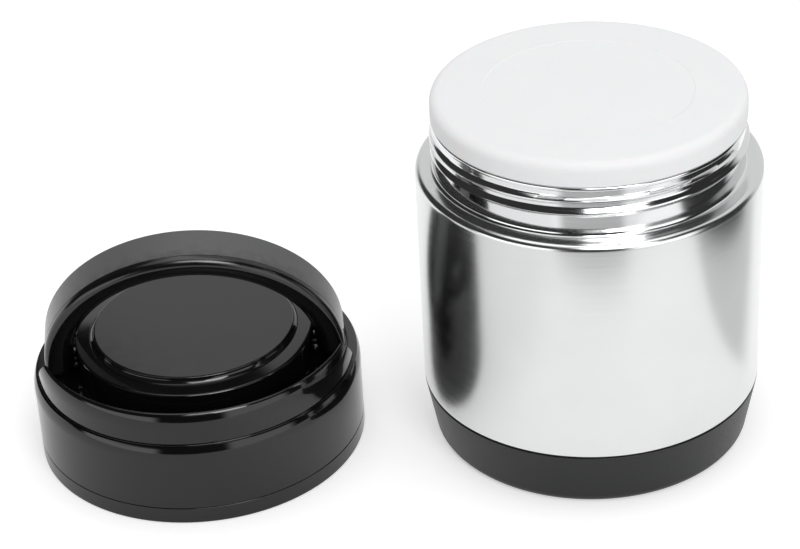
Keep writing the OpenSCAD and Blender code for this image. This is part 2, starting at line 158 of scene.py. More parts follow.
both = add(tree, "AddShader", {0: sheet, 1: glow})
add(tree, "OutputMaterial", {"Surface": both})
floor_mesh.materials.append(paper)

world = bpy.data.worlds.new("room")
bpy.context.scene.world = world
world.use_nodes = True
tree = world.node_tree
tree.nodes.clear()
parts = add(tree, "SeparateXYZ", {0: add(tree, "TexCoord").outputs["Generated"]})
east, north, height = parts.outputs
south = add(tree, "Math", {0: north, 1: -1.0}, operation="MULTIPLY")
turned = add(tree, "Math", {0: east, 1: south}, operation="ARCTAN2")
bearing = add(tree, "Math", {0: turned}, operation="DEGREES")  # from the front, right positive
slant = add(tree, "Math", {0: east, 1: -0.8, 2: height}, operation="MULTIPLY_ADD")
panels = [
    (0.84, [(north, 0.40, FAR, 0.10), (slant, -FAR, 0.65, 0.02)]),  # back wall
    (0.84, [(north, 0.15, 0.40, 0.10), (height, 0.50, 0.86, 0.02),
            (east, 0.10, FAR, 0.10)]),  # its top at the right
    (1.8, [(bearing, -78, -26, 4), (height, -0.30, 0.17, 0.05)]),  # left panel
    (1.1, [(bearing, -78, -26, 4), (height, -FAR, -0.30, 0.05)]),  # its foot
    (1.6, [(bearing, 20, 64, 4), (height, -0.30, 0.45, 0.05)]),  # right panel
    (0.95, [(bearing, 20, 64, 4), (height, -FAR, -0.30, 0.05)]),  # its foot
    (0.52, [(bearing, -26, 20, 4), (height, -FAR, -0.30, 0.05)]),  # front of the table
    (0.95, [(height, 0.86, FAR, 0.02)]),  # ceiling
    (0.8, [(bearing, -8, 38, 4), (height, 0.42, 0.62, 0.02)]),  # soft box's skirt
    (6.5, [(bearing, -8, 38, 4), (height, 0.62, 0.86, 0.02)]),  # soft box
]
mirror_level = 0.03
for strength, ranges in panels:
    mirror_level = add(tree, "Math", {0: soft_patch(tree, ranges), 1: strength, 2: mirror_level},
                       operation="MULTIPLY_ADD")
rays = add(tree, "LightPath")
in_mirror = add(tree, "Background", {"Color": linear("#ffffff"), "Strength": mirror_level})
room = add(tree, "Background", {"Color": linear("#ffffff"), "Strength": 0.72})
backdrop = add(tree, "Background", {"Color": linear("#ffffff")})
lit = add(tree, "MixShader", {0: rays.outputs["Is Glossy Ray"], 1: room, 2: in_mirror})
shown = add(tree, "MixShader", {0: rays.outputs["Is Camera Ray"], 1: lit, 2: backdrop})
add(tree, "OutputWorld", {"Surface": shown})


def soft_box(name, place, size, watts):
    """A rectangular lamp at a place in metres, facing the pair."""
    data = bpy.data.lights.new(name, "AREA")
    data.shape = "RECTANGLE"
    data.size, data.size_y = size
    data.energy = watts
    lamp = bpy.data.objects.new(name, data)
    lamp.location = place
    lamp.rotation_euler = (Vector((-0.05, 0, 0.04)) - Vector(place)).to_track_quat("-Z", "Y").to_euler()
    bpy.context.collection.objects.link(lamp)


soft_box("box_front_right", (0.35, -1.0, 0.85), (0.5, 0.5), 4.3)
soft_box("box_overhead", (0, 0.1, 1.3), (1.0, 0.6), 2.2)


# ---- Steel body ------------------------------------------------------------
# Drawn and spun stainless sheet: straight satin wall, rounded shoulder, and a
# polished neck with a rolled right-hand thread and a rolled lip. It is stepped
# in at the foot, where the plastic cup covers it.

def corners_of(node):
    """A CAD node's lowest and highest corners in mm."""
    return [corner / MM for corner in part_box(node)]


def with_margins(outline, closed):
    """The outline with a plain point near both ends of its long sides, where wear fades out."""
    ends = outline[1:] + outline[:1] if closed else outline[1:]
    points = []
    for (r, z, rounding), (next_r, next_z, next_rounding) in zip(outline, ends):
        length = math.hypot(next_r - r, next_z - z)
        points.append((r, z, rounding))
        if length > rounding + next_rounding + 2:
            stops = ((r, rounding + 0.4), (next_r, length - next_rounding - 0.4))
            for along in [at / length for end_r, at in stops if end_r]:
                points.append((r + (next_r - r) * along, z + (next_z - z) * along, 0))
    return points if closed else points + [outline[-1]]


def turn(outline, steps=192, closed=False):
    """Spins an outline of (radius, height, rounding) corners about Z, sizes in mm."""
    outline = with_margins(outline, closed)
    bm = bmesh.new()
    verts = [bm.verts.new((r * MM, 0, z * MM)) for r, z, _ in outline]
    ring = zip(verts, verts[1:] + verts[:1]) if closed else zip(verts, verts[1:])
    edges = [bm.edges.new(pair) for pair in ring]
    bmesh.ops.spin(bm, geom=verts + edges, cent=(0, 0, 0), axis=(0, 0, 1),
                   angle=2 * math.pi, steps=steps, use_merge=True)
    bmesh.ops.remove_doubles(bm, verts=bm.verts[:], dist=1e-7)
    on_axis = [edge for edge in bm.edges if not edge.link_faces]
    bmesh.ops.delete(bm, geom=on_axis, context="EDGES")
    bmesh.ops.recalc_face_normals(bm, faces=bm.faces[:])
    for radius in sorted({corner[2] for corner in outline if corner[2]}):
        corners = [(r, z) for r, z, rounding in outline if rounding == radius]
        bmesh.ops.bevel(bm, geom=rings_at(bm, corners), offset=radius * MM, segments=6,
                        profile=0.5, affect="EDGES", material=-1)
    return bm


def rings_at(bm, corners):
    """The edges that run round Z at any of the (radius, height) corners, in mm."""
    def on_corner(vert):
        at = (math.hypot(vert.co.x, vert.co.y), vert.co.z)
        return next((i for i, c in enumerate(corners)
                     if abs(at[0] - c[0] * MM) < 1e-6 and abs(at[1] - c[1] * MM) < 1e-6), -1)
    return [e for e in bm.edges if on_corner(e.verts[0]) == on_corner(e.verts[1]) >= 0]


def thread_ridge(radius, out, low, start, steps=400):
    """A rounded helical ridge that sinks into its wall at both ends; out below 0 is inward."""
    bm = bmesh.new()
    points = 9
    verts = []
    for i in range(points):
        across = 2 * i / (points - 1) - 1
        swell = (1 + math.cos(math.pi * across)) / 2
        verts.append(bm.verts.new(((radius + out * swell) * MM, 0,
                                   across * thread_width / 2 * MM)))
    edges = [bm.edges.new(pair) for pair in zip(verts, verts[1:])]
    bmesh.ops.rotate(bm, verts=bm.verts[:], matrix=Matrix.Rotation(start, 3, "Z"))
    bmesh.ops.translate(bm, verts=bm.verts[:], vec=(0, 0, low * MM))
    rise = thread_pitch * thread_turns
    bmesh.ops.spin(bm, geom=verts + edges, cent=(0, 0, 0), axis=(0, 0, 1),
                   dvec=(0, 0, rise * MM / steps), angle=2 * math.pi * thread_turns, steps=steps)
    bm.normal_update()
    facing = sum(face.normal.dot(face.calc_center_median() * Vector((1, 1, 0))) for face in bm.faces)
    if facing * out < 0:
        bmesh.ops.reverse_faces(bm, faces=bm.faces[:])
    for vert in bm.verts:
        proud = math.hypot(vert.co.x, vert.co.y) / MM - radius
        along = (vert.co.z / MM - low) / rise
        fade = min(1, max(0, min(along, 1 - along) * 14))
        scale = (radius + proud * fade) / (radius + proud)
        vert.co.x *= scale
        vert.co.y *= scale
    return bm


def join(bm, extra):
    """Adds one mesh's faces to another's."""
    mesh = bpy.data.meshes.new("extra")
    extra.to_mesh(mesh)
    extra.free()
    bm.from_mesh(mesh)
    bpy.data.meshes.remove(mesh)


def add_piece(name, bm, body, node, materials):
    """Makes a bmesh a smooth-shaded piece that rides on a body in place of a CAD node."""
    mesh = bpy.data.meshes.new(name)
    bm.to_mesh(mesh)
    bm.free()
    mesh.shade_smooth()
    mesh.set_sharp_from_angle(angle=math.radians(40))
    for material in materials:
        mesh.materials.append(material)
    made = bpy.data.objects.new(name, mesh)
    bpy.context.collection.objects.link(made)
    made.modifiers.new("flat_faces", "WEIGHTED_NORMAL").keep_sharp = True
    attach(made, body)
    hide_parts(node)
    return made


def start_material(name):
    """A new material, its empty node tree, and the place of each point on the piece."""
    material = bpy.data.materials.new(name)
    material.use_nodes = True
    material.node_tree.nodes.clear()
    return material, material.node_tree, add(material.node_tree, "TexCoord").outputs["Object"]


def rubbed_edges(tree, place):
    """0 on flats and up to 1 along outer edges, broken up every 3 mm as rubbing leaves them."""
    bend = add(tree, "NewGeometry").outputs["Pointiness"]
    edge = add(tree, "MapRange", {"Value": bend, "From Min": 0.52, "From Max": 0.62})
    patches = add(tree, "TexNoise", {"Vector": place, "Scale": 1 / (3 * MM), "Detail": 2})
    return add(tree, "Math", {0: edge, 1: patches}, operation="MULTIPLY", use_clamp=True)


def finish_surface(tree, colours, shade, roughness, grain, depth, **values):
    """Blends two colours by shade, spreads the roughness and raises a bump, in mm, by grain."""
    colour = add(tree, "Mix", {0: shade, 6: linear(colours[0]), 7: linear(colours[1])},
                 data_type="RGBA").outputs[2]
    rough = add(tree, "MapRange", {"Value": grain, "From Min": 0.3, "From Max": 0.7,
                                   "To Min": roughness[0], "To Max": roughness[1]})
    bump = add(tree, "Bump", {"Height": grain, "Distance": depth * MM})
    inputs = {"Base Color": colour, "Roughness": rough, "Normal": bump}
    inputs.update({name.replace("_", " "): value for name, value in values.items()})
    shader = add(tree, "BsdfPrincipled", inputs)
    add(tree, "OutputMaterial", {"Surface": shader})


def ring_worked_steel(name, colours, roughness, spacing, length, depth):
    """Stainless steel with fine rings round Z, spacing and streak length in mm."""
    material, tree, place = start_material(name)
    flat = add(tree, "VectorMath", {0: place, 1: (1, 1, 0)}, operation="MULTIPLY")
    radius = add(tree, "VectorMath", {0: flat}, operation="LENGTH").outputs["Value"]
    around = add(tree, "VectorMath", {0: flat}, operation="NORMALIZE")
    drawn = add(tree, "VectorMath", {0: around, "Scale": body_r * MM * spacing / length},
                operation="SCALE")
    upward = add(tree, "SeparateXYZ", {0: place}).outputs["Z"]
    across = add(tree, "Math", {0: upward, 1: radius}, operation="ADD")
    lifted = add(tree, "CombineXYZ", {"Z": across})
    point = add(tree, "VectorMath", {0: drawn, 1: lifted}, operation="ADD")
    rings = add(tree, "TexNoise", {"Vector": point, "Scale": 1 / (spacing * MM), "Detail": 2})
    handled = add(tree, "TexNoise", {"Vector": place, "Scale": 1 / (18 * MM), "Detail": 3})
    mixed = add(tree, "Math", {0: handled, 1: 0.6, 2: rubbed_edges(tree, place)},
                operation="MULTIPLY_ADD")
    shade = add(tree, "Math", {0: rings, 1: 0.4, 2: mixed}, operation="MULTIPLY_ADD", use_clamp=True)
    finish_surface(tree, colours, shade, roughness, rings, depth, Metallic=1)
    return material


body_r = corners_of("outer_shell")[1].x
neck_top = corners_of("outer_shell")[1].z
plate_z = corners_of("outer_shell")[0].z
shoulder_z = 88
neck_r = 44.5
neck_foot = 1.2
lip_r = 44.9
lip_h = 1.4
liner_r = 42.3
step_z = 18.4
steel_foot_r = 44.66
step_r = 47.6
steel_wall = 1
thread_pitch = 4
thread_turns = 1.5
thread_low = 6.4
thread_depth = 1.1
thread_width = 3.2

# Brushed on the lathe: soft mirror bands with faint rings, drawn every 0.6 mm so
# that they show, coarser than the real 0.1 mm.
satin_steel = ring_worked_steel("satin_brushed_stainless_steel", ("#d1d2d2", "#dedfdf"),
                                (0.17, 0.22), 0.6, 40, 0.0008)
# Rolled and then buffed: near-sharp reflections, a little cloudy where it is handled.
mirror_steel = ring_worked_steel("buffed_stainless_steel", ("#d8d9da", "#e6e6e7"),
                                 (0.08, 0.13), 0.9, 60, 0.0004)

inside_r = neck_r - steel_wall
shell = turn([
    (steel_foot_r - steel_wall, plate_z, 0), (steel_foot_r, plate_z, 0), (step_r, step_z, 0),
    (body_r, step_z, 0.3), (body_r, shoulder_z, 1.6), (neck_r, shoulder_z, neck_foot),
    (neck_r, neck_top - lip_h, 0), (lip_r, neck_top - lip_h, 0.5), (lip_r, neck_top, 0.6),
    (liner_r, neck_top, 0.3), (liner_r, neck_top - lip_h, 0), (inside_r, neck_top - lip_h, 0),
    (inside_r, shoulder_z - steel_wall, 0), (body_r - steel_wall, shoulder_z - steel_wall, 0.8),
    (body_r - steel_wall, step_z + steel_wall, 0), (step_r - steel_wall, step_z + steel_wall, 0),
], steps=384, closed=True)
join(shell, thread_ridge(neck_r, thread_depth, shoulder_z + thread_low, math.radians(150)))
for face in shell.faces:
    face.material_index = int(face.calc_center_median().z > (shoulder_z + 0.2) * MM)
add_piece("steel_body", shell, "jar", "outer_shell", [satin_steel, mirror_steel])


# ---- Inner vessel ----------------------------------------------------------
# The steel inside, deep drawn in one piece with a round-cornered floor and
# welded to the outer wall under the lip.

vessel_wall = 0.8
vessel_floor = corners_of("inner_liner")[0].z + vessel_wall
vessel_round = 12

# Deep drawn and electropolished: bright, softer than the neck, faint draw rings.
drawn_steel = ring_worked_steel("electropolished_stainless_steel", ("#cfd0d1", "#dcddde"),
                                (0.12, 0.18), 1.2, 90, 0.0006)
vessel = turn([
    (0, vessel_floor - vessel_wall, 0),
    (liner_r + vessel_wall, vessel_floor - vessel_wall, vessel_round + vessel_wall),
    (liner_r + vessel_wall, neck_top - lip_h, 0), (liner_r, neck_top - lip_h, 0),
    (liner_r, vessel_floor, vessel_round), (0, vessel_floor, 0)])
add_piece("inner_vessel", vessel, "jar", "inner_liner", [drawn_steel])


# ---- Vacuum parts ----------------------------------------------------------
# Hidden between the walls: the bottom plate brazed into the outer wall, the
# button that seals its pump-out hole, the getter cup and the copper foil sleeve.

def dress(node, material):
    """Gives a CAD node that stays its finished material."""
    for slot in frame["nodes"][node].material_slots:
        slot.material = material


# Cold rolled sheet as it comes from the mill: dull, with patches of furnace tint.
plate_steel, tree, place = start_material("mill_finish_stainless_steel")
tint = add(tree, "TexNoise", {"Vector": place, "Scale": 1 / (14 * MM), "Detail": 4})
pits = add(tree, "TexNoise", {"Vector": place, "Scale": 1 / (0.7 * MM), "Detail": 3})
finish_surface(tree, ("#b3b1ad", "#cbc7bd"), tint, (0.32, 0.46), pits, 0.006, Metallic=1)
dress("bottom_plate", plate_steel)

# Nickel braze that flowed and froze: lumpy, greyer, half matt.
braze, tree, place = start_material("nickel_braze")
lumps = add(tree, "TexNoise", {"Vector": place, "Scale": 1 / (1.6 * MM), "Detail": 4})
finish_surface(tree, ("#8b8a86", "#aaa8a2"), lumps, (0.35, 0.55), lumps, 0.08, Metallic=1)
dress("vacuum_seal", braze)

# Sintered zirconium powder: matt dark grey grains.
getter_metal, tree, place = start_material("sintered_zirconium")
powder = add(tree, "TexVoronoi", {"Vector": place, "Scale": 1 / (0.35 * MM)}).outputs["Distance"]
finish_surface(tree, ("#55565a", "#7d7e80"), powder, (0.6, 0.8), powder, 0.05, Metallic=1)
dress("getter", getter_metal)

# Copper foil wrapped by hand: bright, creased in flat facets a few mm across.
copper_foil, tree, place = start_material("creased_copper_foil")
creases = add(tree, "TexVoronoi", {"Vector": place, "Scale": 1 / (6 * MM)},
              feature="F2").outputs["Distance"]
finish_surface(tree, ("#b8693f", "#d98b5c"), creases, (0.16, 0.3), creases, 0.5, Metallic=1)
dress("radiation_foil", copper_foil)


# ---- Foot cup --------------------------------------------------------------
# Moulded black cup glued round the stepped foot of the steel, with a thin rubber
# ring in the joint.

cup_r = corners_of("base_cup")[1].x
cup_top = corners_of("base_cup")[1].z
cup_foot_r = 46.7
cup_floor = 2
cup_wall = 2.2
gasket_r = corners_of("base_gasket")[1].x


def moulded(name, colours, roughness, grain, depth, **values):
    """Plastic or rubber from a mould with a grain in mm, paler where its edges are rubbed."""
    material, tree, place = start_material(name)
    texture = add(tree, "TexNoise", {"Vector": place, "Scale": 1 / (grain * MM), "Detail": 3})
    cloud = add(tree, "TexNoise", {"Vector": place, "Scale": 1 / (22 * MM), "Detail": 2})
    shade = add(tree, "Math", {0: cloud, 1: 0.5, 2: rubbed_edges(tree, place)},
                operation="MULTIPLY_ADD", use_clamp=True)
    finish_surface(tree, colours, shade, roughness, texture, depth, **values)
    return material


# Spark-eroded mould: an even satin black with a fine grit, greyer round its edges.
satin_plastic = moulded("spark_textured_polypropylene", ("#101111", "#1c1d1d"), (0.36, 0.48),
                        0.5, 0.012, IOR=1.49, Specular_IOR_Level=0.38)
cup = turn([(0, 0, 0), (cup_foot_r, 0, 2.5), (cup_r, cup_top, 0.3), (cup_r - cup_wall, cup_top, 0),
            (cup_foot_r - cup_wall, cup_floor, 0.8), (0, cup_floor, 0)])
add_piece("foot_cup", cup, "jar", "base_cup", [satin_plastic])

# Nitrile: dead matt black.
nitrile = moulded("nitrile_rubber", ("#0c0c0c", "#1b1b1b"), (0.65, 0.8), 0.3, 0.01, IOR=1.52)
ring = turn([(step_r + 0.1, cup_top, 0), (gasket_r, cup_top, 0.1), (gasket_r, step_z, 0.1),
             (step_r + 0.1, step_z, 0)], closed=True)
add_piece("joint_ring", ring, "jar", "base_gasket", [nitrile])


# ---- Inner lid -------------------------------------------------------------
# White moulded cover with a rounded edge and a faint round recess, welded over a
# plug that holds a foam core. A silicone ring round the plug seals the mouth.

cover_low, cover_high = corners_of("inner_lid_cover")
cover_r = cover_high.x
cover_top = cover_high.z
cover_wall = 1.8
recess_r = 30
recess_depth = 0.14
plug_low, plug_high = corners_of("inner_lid_plug")
plug_r = 41.1
plug_z = plug_low.z
flange_r = plug_high.x
seal_low, seal_high = corners_of("inner_lid_seal")
groove_r = plug_r - 0.7

# Natural polypropylene: milky white, waxy, the light goes a little way in.
white_plastic = moulded("natural_polypropylene", ("#eeeff0", "#f5f5f6"), (0.44, 0.54), 1.8, 0.003,
                        IOR=1.49, Specular_IOR_Level=0.2, Subsurface_Weight=0.15,
                        Subsurface_Scale=0.002)
cover = turn([(0, cover_top - recess_depth, 0), (recess_r, cover_top - recess_depth, 0.12),
              (recess_r + recess_depth, cover_top, 0.1), (cover_r, cover_top, 2.6),
              (cover_r, cover_low.z, 0.4), (cover_r - cover_wall, cover_low.z, 0),
              (cover_r - cover_wall, cover_top - cover_wall, 0.8), (0, cover_top - cover_wall, 0)])
add_piece("inner_cover", cover, "inner_lid", "inner_lid_cover", [white_plastic])

plug_in = plug_r - cover_wall
plug = turn([(0, plug_z, 0), (plug_r, plug_z, 1.5), (plug_r, seal_low.z, 0.15),
             (groove_r, seal_low.z, 0), (groove_r, seal_high.z, 0), (plug_r, seal_high.z, 0.15),
             (plug_r, cover_low.z, 0), (flange_r, cover_low.z, 0), (flange_r, plug_high.z, 0.2),
             (plug_in, plug_high.z, 0), (plug_in, plug_z + cover_wall, 0),
             (0, plug_z + cover_wall, 0)])
add_piece("inner_plug", plug, "inner_lid", "inner_lid_plug", [white_plastic])

# Platinum-cured silicone: soft, cloudy, barely glossy.
silicone = moulded("cured_silicone", ("#c9cdce", "#dde0e1"), (0.42, 0.55), 0.8, 0.004, IOR=1.41,
                   Subsurface_Weight=0.3, Subsurface_Scale=0.002)
seal = turn([(groove_r, seal_low.z, 0), (seal_high.x, seal_low.z, 0.9),
             (seal_high.x, seal_high.z, 0.9), (groove_r, seal_high.z, 0)], closed=True)
add_piece("plug_seal", seal, "inner_lid", "inner_lid_seal", [silicone])

# Rigid polyurethane foam: cream, with open cells half a millimetre across.
rigid_foam, tree, place = start_material("rigid_polyurethane_foam")
cells = add(tree, "TexVoronoi", {"Vector": place, "Scale": 1 / (0.6 * MM)}).outputs["Distance"]
finish_surface(tree, ("#cbbf9f", "#e8dfc8"), cells, (0.7, 0.9), cells, 0.2, IOR=1.45)
dress("inner_lid_foam", rigid_foam)


# ---- Screw lid shell -------------------------------------------------------
# Glossy black moulding: skirt, upper tier, ring channel and a boss whose ledge
# rises a little to the disc. The rim drops in two slopes to a low part behind,
# and two bosses inside carry the handle's pins.

swing = next(joint for joint in frame["joints"] if joint["name"] == "handle_swing")
hinge_place = Vector(swing["pos_m"])
lid_turned = math.atan2(swing["axis"][1], swing["axis"][0])
pivot_z = hinge_place.z / MM
skirt_r = 49.3
skirt_in = 47.5
step_top = 26.3
step_h = 3.7
step_in = 0.9
step_round = (step_in ** 2 + step_h ** 2) / (2 * step_in)
tier_r = 47.6
rim_in = 45.8
rim_top = corners_of("lid_shell")[1].z
rim_edge = 0.3
rim_round_h = 5
rear_z = 27.0
slope_start = -16
slope_end = -8
channel_z = 25.6
channel_under = 24.2
boss_r = 35.7
boss_wall = 1.8
ledge_z = 35.4
ledge_edge = 0.55
ledge_rise = math.tan(math.radians(6.75))
disc_r = 31
seat_r = disc_r + 0.15
seat_z = corners_of("lid_disc")[0].z
boss_under = seat_z - boss_wall
shell_low = corners_of("lid_shell")[0].z
pin_r = 1.8
pin_hold = 6


def rounded(x, y, across, up, start, end, steps=8):
    """Points of an oval corner about (x, y), in mm and degrees."""
    turns = [math.radians(start + (end - start) * i / steps) for i in range(steps + 1)]
    return [(x + across * math.cos(t), y + up * math.sin(t), 0) for t in turns]


def combine(whole, tool, operation):
    """Cuts one closed mesh with another, or joins them."""
    made = []
    for bm in (whole, tool):
        mesh = bpy.data.meshes.new("cut")
        bm.to_mesh(mesh)
        bm.free()
        made.append(bpy.data.objects.new("cut", mesh))
        bpy.context.collection.objects.link(made[-1])
    cutter = made[0].modifiers.new("cut", "BOOLEAN")
    cutter.object = made[1]
    cutter.operation = operation
    cutter.solver = "EXACT"
    result = bmesh.new()
    result.from_object(made[0], bpy.context.evaluated_depsgraph_get())
    for thing in made:
        mesh = thing.data
        bpy.data.objects.remove(thing)
        bpy.data.meshes.remove(mesh)
    return result


def cross_bar(outline):
    """A round bar along X through the pins' axis, from (radius, distance) corners in mm."""
    bm = turn([(r, x, 0) for r, x in outline], steps=48)
    bmesh.ops.rotate(bm, verts=bm.verts[:], matrix=Matrix.Rotation(math.pi / 2, 3, "Y"))
    return bm


def on_lid(bm):
    """Moves a mesh made about the lid's axis to where the lid stands."""
    bmesh.ops.rotate(bm, verts=bm.verts[:], matrix=Matrix.Rotation(lid_turned, 3, "Z"))
    bmesh.ops.translate(bm, verts=bm.verts[:], vec=hinge_place * Vector((1, 1, 0)))


# High-gloss ABS from a polished mould: deep black, sharp reflections that waver
# very slightly.
gloss_black = moulded("high_gloss_abs", ("#09090a", "#131314"), (0.06, 0.1), 2.5, 0.0015, IOR=1.5)

ledge_inside = ledge_z + (boss_r - ledge_edge - seat_r) * ledge_rise
boss_in = boss_r - boss_wall
lid_shell = turn(
    [(skirt_in, shell_low, 0), (skirt_r, shell_low, 0.15)]
    + rounded(skirt_r - step_round, step_top - step_h, step_round, step_round, 0,
              math.degrees(math.asin(step_h / step_round)))
    + [(tier_r, step_top, 0.2)]
    + rounded(rim_in + rim_edge, rim_top - rim_round_h, tier_r - rim_in - rim_edge, rim_round_h,
              0, 90, 12)
    + rounded(rim_in + rim_edge, rim_top - rim_edge, rim_edge, rim_edge, 90, 180, 4)
    + [(rim_in, channel_z, 0.4), (boss_r, channel_z, 0.4), (boss_r, ledge_z, ledge_edge),
       (seat_r, ledge_inside, 0.12), (seat_r, seat_z, 0), (0, seat_z, 0), (0, boss_under, 0),
       (boss_in, boss_under, 0), (boss_in, channel_under, 0), (skirt_in, channel_under, 0)],
    steps=256, closed=True)

# The slab over the rim's low part, less all that lies inside the rim.
slab = bmesh.new()
side = [(slope_start, rim_top), (slope_end, rear_z), (60, rear_z), (60, 40), (slope_start, 40)]
slab_face = slab.faces.new([slab.verts.new((-60 * MM, y * MM, z * MM)) for y, z in side])
grown = bmesh.ops.extrude_face_region(slab, geom=[slab_face])
across = [part for part in grown["geom"] if isinstance(part, bmesh.types.BMVert)]
bmesh.ops.translate(slab, verts=across, vec=(120 * MM, 0, 0))
bmesh.ops.recalc_face_normals(slab, faces=slab.faces[:])
core = turn([(0, 10, 0), (rim_in - 0.02, 10, 0), (rim_in - 0.02, 50, 0), (0, 50, 0)], steps=256)
lid_shell = combine(lid_shell, combine(slab, core, "DIFFERENCE"), "DIFFERENCE")

for side in (1, -1):
    pin_boss = cross_bar([(0, side * (boss_r - pin_hold)), (pin_r + 2, side * (boss_r - pin_hold)),
                          (pin_r + 2, side * (boss_r - boss_wall / 2)),
                          (0, side * (boss_r - boss_wall / 2))])
    bmesh.ops.translate(pin_boss, verts=pin_boss.verts[:], vec=(0, 0, pivot_z * MM))
    top = bmesh.ops.bisect_plane(pin_boss, geom=pin_boss.verts[:] + pin_boss.edges[:] + pin_boss.faces[:],
                                 plane_co=(0, 0, (boss_under + boss_wall / 2) * MM),
                                 plane_no=(0, 0, 1), clear_outer=True)
    rim = [part for part in top["geom_cut"] if isinstance(part, bmesh.types.BMEdge)]
    bmesh.ops.holes_fill(pin_boss, edges=rim, sides=0)
    bmesh.ops.recalc_face_normals(pin_boss, faces=pin_boss.faces[:])
    lid_shell = combine(lid_shell, pin_boss, "UNION")
bore = cross_bar([(0, -boss_r - 1), (pin_r + 0.02, -boss_r - 1), (pin_r + 0.02, boss_r + 1),
                  (0, boss_r + 1)])
bmesh.ops.translate(bore, verts=bore.verts[:], vec=(0, 0, pivot_z * MM))
lid_shell = combine(lid_shell, bore, "DIFFERENCE")
on_lid(lid_shell)
add_piece("lid_outside", lid_shell, "screw_lid", "lid_shell", [gloss_black])


# ---- Lid disc --------------------------------------------------------------
# Raised round insert with a hollow side, pressed into its seat in the boss.

disc_top = corners_of("lid_disc")[1].z
disc_top_r = disc_r - 1
disc_edge = 0.3
flare_w = 3.4
flare_h = 2.3
flare_end = math.degrees(math.acos(1 - (disc_r - disc_top_r) / flare_w))

# A glossy acrylic-like plastic, a shade less reflective than the shell round it.
disc_black = moulded("gloss_styrene_acrylic", ("#0e0e0f", "#1a1a1b"), (0.06, 0.1), 3.5, 0.001,
                     IOR=1.49)
disc = turn([(0, seat_z, 0), (disc_r, seat_z, 0)]
            + rounded(disc_top_r + flare_w, disc_top - disc_edge, flare_w, flare_h,
                      180 + flare_end, 180)
            + rounded(disc_top_r - disc_edge, disc_top - disc_edge, disc_edge, disc_edge, 0, 90, 4)
            + [(0, disc_top, 0)], steps=256)
on_lid(disc)
add_piece("lid_insert", disc, "screw_lid", "lid_disc", [disc_black])


# ---- Threaded liner --------------------------------------------------------
# The lid's inside, with the thread that takes the neck. Its foot is the band
# under the parting line. It holds a foam disc up in the boss and a seal ring in
# its ceiling.

thread_wall_r = 46.2
liner_out = 47.35
band_h = 5.2
ceiling_z = 23.0
gasket_in = 37.2
gasket_out = 41.2
gasket_low, gasket_high = corners_of("lid_gasket")

# Black polypropylene from the same family as the shell, a little softer in gloss.
liner_black = moulded("moulded_black_polypropylene", ("#101011", "#1d1d1e"), (0.1, 0.16), 1.5, 0.003,
                      IOR=1.49)
liner = turn([(thread_wall_r, 0, 0.3), (skirt_r, 0, 0.6), (skirt_r, band_h, 0.2),
              (liner_out, band_h, 0), (liner_out, channel_under, 0), (0, channel_under, 0),
              (0, ceiling_z, 0), (gasket_in, ceiling_z, 0), (gasket_in, gasket_high.z, 0),
              (gasket_out, gasket_high.z, 0), (gasket_out, ceiling_z, 0),
              (thread_wall_r, ceiling_z, 0.5)], steps=256, closed=True)
join(liner, thread_ridge(thread_wall_r, -thread_depth, thread_low, 0))
on_lid(liner)
add_piece("lid_inside", liner, "screw_lid", "lid_liner", [liner_black])

seal = turn([(gasket_in, gasket_low.z, 0.3), (gasket_out, gasket_low.z, 0.3),
             (gasket_out, gasket_high.z, 0), (gasket_in, gasket_high.z, 0)], closed=True)
on_lid(seal)
add_piece("ceiling_seal", seal, "screw_lid", "lid_gasket", [silicone])
dress("lid_foam", rigid_foam)


# ---- Pins and washers ------------------------------------------------------
# Two ground steel pins pressed into the boss carry the handle. A washer on each
# gives the dry friction that holds the handle where it is left.

# Centreless ground: bright with a very fine grind.
pin_steel, tree, place = start_material("ground_stainless_steel")
grind = add(tree, "TexNoise", {"Vector": place, "Scale": 1 / (0.25 * MM), "Detail": 2})
finish_surface(tree, ("#c6c8c9", "#d9dadb"), grind, (0.12, 0.22), grind, 0.002, Metallic=1)
for node in ("pivot_pin_left", "pivot_pin_right"):
    dress(node, pin_steel)

# Acetal: waxy black, dulled by rubbing.
acetal = moulded("black_acetal", ("#0e0e0f", "#171718"), (0.55, 0.7), 0.6, 0.003, IOR=1.48)
dress("friction_washers", acetal)


# ---- Handle ----------------------------------------------------------------
# Glossy half hoop with round feet that turn on the pins, and a matte grip
# moulded round its outside. It leans forward, close to the stop of its feet.

handle_in = 36.2
handle_out = 44.8
handle_front = 8
handle_back = 5
lean = math.radians(18)
stop_lean = math.radians(20)
foot_flat = 5.3
grip_in = 43.4
grip_front = 5
grip_point = 5
grip_fit = 0.12
pin_run = 0.06
bore_end = 41.7
washer_r = 3.7
washer_seat = 37.3
inner_round = 5.2
outer_round = 2
rear_round = 0.8
front_edge = (rounded(handle_in + inner_round, handle_front - inner_round, inner_round, inner_round,
                      180, 90)
              + rounded(handle_out - outer_round, handle_front - outer_round, outer_round,
                        outer_round, 90, 0))
rear_edge = (rounded(handle_out - rear_round, rear_round - handle_back, rear_round, rear_round,
                     0, -90, 5)
             + rounded(handle_in + rear_round, rear_round - handle_back, rear_round, rear_round,
                       270, 180, 5))


def strip(bm, points, side=1):
    """Edges through (radius, distance in front) points at one end of the hoop."""
    verts = [bm.verts.new((side * p[0] * MM, -p[1] * MM, 0)) for p in points]
    edges = [bm.edges.new(pair) for pair in zip(verts, verts[1:])]
    return verts + edges


